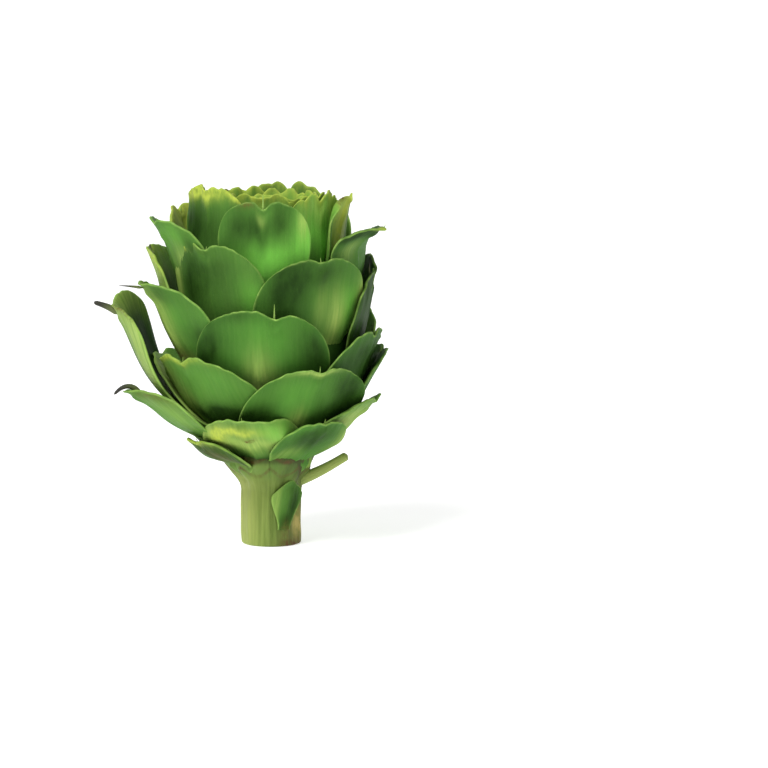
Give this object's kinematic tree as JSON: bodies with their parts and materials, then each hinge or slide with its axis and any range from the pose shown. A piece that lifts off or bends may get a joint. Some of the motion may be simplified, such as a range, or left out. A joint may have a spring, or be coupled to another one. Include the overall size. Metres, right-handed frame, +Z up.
{
  "type": "globe artichoke",
  "caption": "Fresh globe artichoke cut with a short stem, its broad green bracts overlapping in a spiral up to an open crown, standing on the cut end.",
  "frame": {"origin": "middle of the flat cut end of the stem", "axes": "+Z up the stem to the crown, -Y out of the side that the picture shows, +X to that side's right"},
  "size_m": [0.1288, 0.1039, 0.1563],
  "materials": {
    "stem_green": "fibrous stalk skin, matte",
    "leaf_green": "waxy leaf, satin",
    "crown_green": "young leaf with withered edges, satin"
  },
  "bodies": {
    "root": {"stem": "stem_green", "outer_bracts": "leaf_green", "inner_bracts": "crown_green"}
  },
  "joints": []
}
